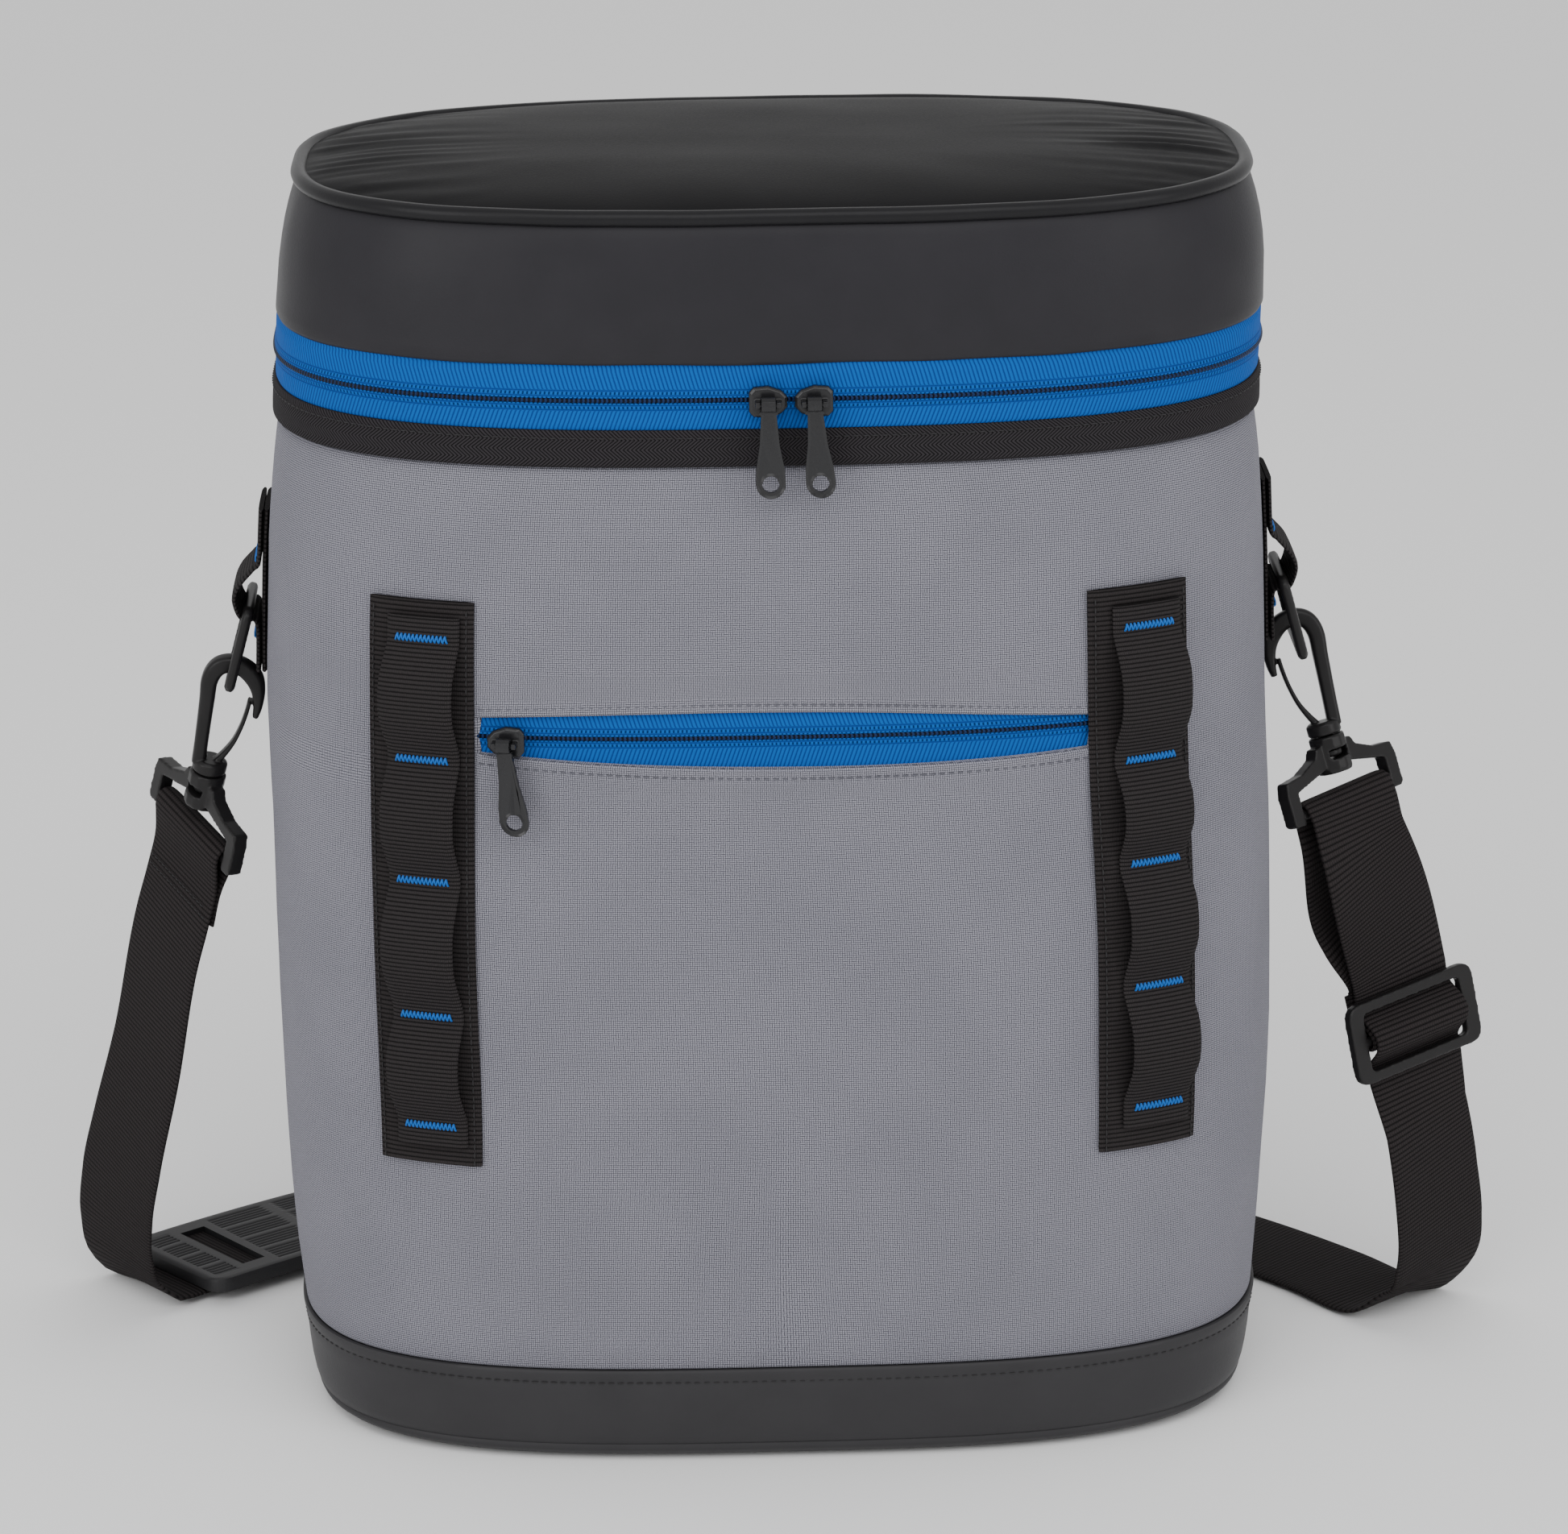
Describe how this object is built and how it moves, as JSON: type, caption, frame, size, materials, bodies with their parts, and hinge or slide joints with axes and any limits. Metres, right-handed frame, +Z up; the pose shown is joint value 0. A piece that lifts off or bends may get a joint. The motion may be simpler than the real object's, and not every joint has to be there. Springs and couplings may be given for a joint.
{
  "type": "cooler backpack",
  "caption": "Upright soft cooler with a zipped lid, front zip pocket, webbing chains on the front and a clip-on padded shoulder strap.",
  "frame": {"origin": "centre of the base on the floor", "axes": "+Z up, the front with the pocket faces -Y, +X to the right seen from the front"},
  "size_m": [0.4538, 0.2655, 0.3935],
  "materials": {
    "grey_cloth": "basket-woven polyester, matt",
    "black_coated_cloth": "polyurethane-coated cloth, satin",
    "black_webbing": "ribbed webbing, matt",
    "blue_zip_tape": "woven zip tape, matt",
    "black_zip_metal": "black enamel, semi-gloss",
    "black_plastic": "moulded, fine matt",
    "black_rubber": "moulded, ribbed, matt"
  },
  "bodies": {
    "bag": {"base_band": "black_coated_cloth", "body_wall": "grey_cloth", "chain_backing_left": "black_webbing", "chain_backing_right": "black_webbing", "chain_web_left": "black_webbing", "chain_web_right": "black_webbing", "lid_hinge": "black_coated_cloth", "lid_piping": "black_coated_cloth", "lid_top": "black_coated_cloth", "lid_wall": "black_coated_cloth", "main_slider_left": "black_zip_metal", "main_slider_right": "black_zip_metal", "pocket_slider": "black_zip_metal", "pocket_zip_coil": "blue_zip_tape", "pocket_zip_tape": "blue_zip_tape", "rim_binding": "black_webbing", "ring_left": "black_plastic", "ring_right": "black_plastic", "shoulder_pad": "black_rubber", "side_backing_left": "black_webbing", "side_backing_right": "black_webbing", "side_loop_left": "black_webbing", "side_loop_right": "black_webbing", "strap_left": "black_webbing", "strap_right": "black_webbing", "strap_slider": "black_plastic", "swivel_base_left": "black_plastic", "swivel_base_right": "black_plastic", "zip_coil": "blue_zip_tape", "zip_tape_lower": "blue_zip_tape", "zip_tape_upper": "blue_zip_tape"},
    "main_pull_left": {"main_puller_left": "black_zip_metal"},
    "main_pull_right": {"main_puller_right": "black_zip_metal"},
    "pocket_pull": {"pocket_puller": "black_zip_metal"},
    "snap_hook_left": {"hook_left": "black_plastic"},
    "snap_hook_right": {"hook_right": "black_plastic"}
  },
  "joints": [
    {"name": "main_pull_left_lift", "type": "hinge", "parent": "bag", "child": "main_pull_left", "pos_m": [-0.00286, -0.09432, 0.3346], "axis": [-1, 0.001, 0], "range_deg": [0, 150]},
    {"name": "main_pull_right_lift", "type": "hinge", "parent": "bag", "child": "main_pull_right", "pos_m": [0.0103, -0.0943, 0.3346], "axis": [-1, -0.0067, 0], "range_deg": [0, 150]},
    {"name": "pocket_pull_lift", "type": "hinge", "parent": "bag", "child": "pocket_pull", "pos_m": [-0.08079, -0.08978, 0.2323], "axis": [-0.9829, 0.184, 0], "range_deg": [0, 150]},
    {"name": "snap_hook_left_swivel", "type": "hinge", "parent": "bag", "child": "snap_hook_left", "pos_m": [-0.17332, 0.0002, 0.19647], "axis": [0.2417, -0.1649, 0.9562], "range_deg": [-15, 15]},
    {"name": "snap_hook_right_swivel", "type": "hinge", "parent": "bag", "child": "snap_hook_right", "pos_m": [0.17076, 0.00023, 0.20122], "axis": [-0.2668, 0.2161, 0.9392], "range_deg": [-15, 15]}
  ]
}
